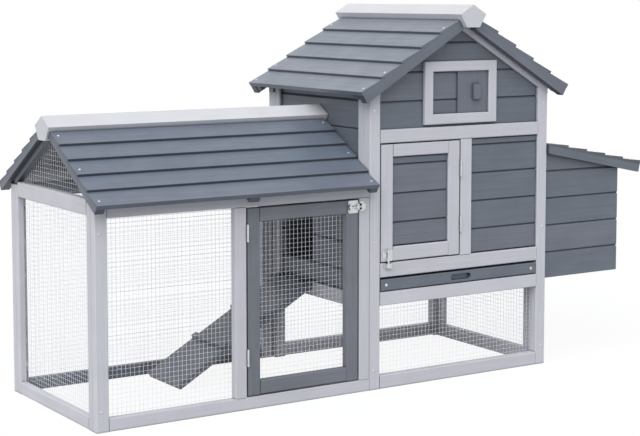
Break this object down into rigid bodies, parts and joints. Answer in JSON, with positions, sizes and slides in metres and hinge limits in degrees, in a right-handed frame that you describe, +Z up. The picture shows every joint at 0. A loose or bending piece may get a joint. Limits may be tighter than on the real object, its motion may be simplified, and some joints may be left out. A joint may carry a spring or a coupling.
{
  "type": "chicken coop",
  "caption": "Small wooden chicken coop: a raised gabled house with nest box and pull-out tray, joined to a roofed wire run with hinged doors and a ramp.",
  "frame": {"origin": "middle of the overall box, on the ground", "axes": "+X to the right along the coop's length, from the run to the nest box, -Y is the front with the doors, +Z up"},
  "size_m": [1.488, 0.51, 0.8575],
  "materials": {
    "slate_stain": "slate grey stain on fir",
    "pale_paint": "pale grey paint on fir",
    "ridge_paint": "off-white paint on fir",
    "bare_fir": "planed, unpainted",
    "zinc_sheet": "galvanised sheet",
    "zinc_hardware": "zinc plated",
    "welded_wire": "galvanised wire"
  },
  "bodies": {
    "coop": {"bolt_keepers": "zinc_hardware", "hinge_fixed_leaves": "zinc_hardware", "hinge_pins": "zinc_hardware", "house_front_panel": "slate_stain", "house_front_rails": "pale_paint", "house_gable_boards": "slate_stain", "house_gable_rails": "pale_paint", "house_left_boards": "slate_stain", "house_mid_stile": "pale_paint", "house_posts": "pale_paint", "house_rear_boards": "slate_stain", "house_rear_rails": "pale_paint", "house_ridge_beam": "ridge_paint", "house_right_boards": "slate_stain", "house_roof_battens": "slate_stain", "house_roof_left_boards": "slate_stain", "house_roof_right_boards": "slate_stain", "house_side_rails": "pale_paint", "house_skirt_nets": "welded_wire", "nest_divider": "bare_fir", "nest_end_boards": "slate_stain", "nest_floor": "bare_fir", "nest_side_boards": "slate_stain", "perch": "bare_fir", "perch_cradles": "bare_fir", "run_end_frame": "pale_paint", "run_end_net": "welded_wire", "run_front_frame": "pale_paint", "run_front_net": "welded_wire", "run_gable_net": "welded_wire", "run_rear_frame": "pale_paint", "run_rear_net": "welded_wire", "run_ridge_beam": "ridge_paint", "run_roof_battens": "slate_stain", "run_roof_front_boards": "slate_stain", "run_roof_rear_boards": "slate_stain", "tray_runners": "slate_stain", "window_frame": "pale_paint", "window_net": "welded_wire"},
    "run_door": {"run_door_frame": "slate_stain", "run_door_net": "welded_wire", "run_door_hinge_leaves": "zinc_hardware", "run_door_bolt_plate": "zinc_hardware"},
    "run_door_bolt": {"run_door_bolt": "zinc_hardware"},
    "house_door": {"house_door_frame": "pale_paint", "house_door_boards": "slate_stain", "house_door_hinge_leaves": "zinc_hardware", "house_door_bolt_plate": "zinc_hardware"},
    "house_door_bolt": {"house_door_bolt": "zinc_hardware"},
    "shutter": {"window_shutter": "slate_stain", "shutter_knob": "slate_stain"},
    "tray": {"tray_pan": "zinc_sheet", "tray_front": "slate_stain"},
    "nest_lid": {"nest_lid_boards": "slate_stain", "nest_lid_battens": "slate_stain", "nest_lid_hinge_leaves": "zinc_hardware"},
    "ramp": {"ramp_board": "slate_stain", "ramp_cleats": "slate_stain", "ramp_hinge_leaves": "zinc_hardware"}
  },
  "joints": [
    {"name": "run_door_swing", "type": "hinge", "parent": "coop", "child": "run_door", "pos_m": [-0.3755, -0.2178, 0.23], "axis": [0, 0, -1], "range_deg": [0, 150]},
    {"name": "run_door_bolt_slide", "type": "slide", "parent": "run_door", "child": "run_door_bolt", "axis": [-1, 0, 0], "range_m": [0, 0.011]},
    {"name": "house_door_swing", "type": "hinge", "parent": "coop", "child": "house_door", "pos_m": [0.189, -0.2178, 0.418], "axis": [0, 0, 1], "range_deg": [0, 150]},
    {"name": "house_door_bolt_slide", "type": "slide", "parent": "house_door", "child": "house_door_bolt", "axis": [0, 0, 1], "range_m": [0, 0.011]},
    {"name": "shutter_slide", "type": "slide", "parent": "coop", "child": "shutter", "axis": [-1, 0, 0], "range_m": [0, 0.08]},
    {"name": "tray_slide", "type": "slide", "parent": "coop", "child": "tray", "axis": [0, -1, 0], "range_m": [0, 0.34]},
    {"name": "nest_lid_swing", "type": "hinge", "parent": "coop", "child": "nest_lid", "pos_m": [0.4498, 0, 0.5311], "axis": [0, -1, 0], "range_deg": [0, 65]},
    {"name": "ramp_swing", "type": "hinge", "parent": "coop", "child": "ramp", "pos_m": [-0.0648, 0.095, 0.2148], "axis": [0, 1, 0], "range_deg": [0, 45]}
  ]
}
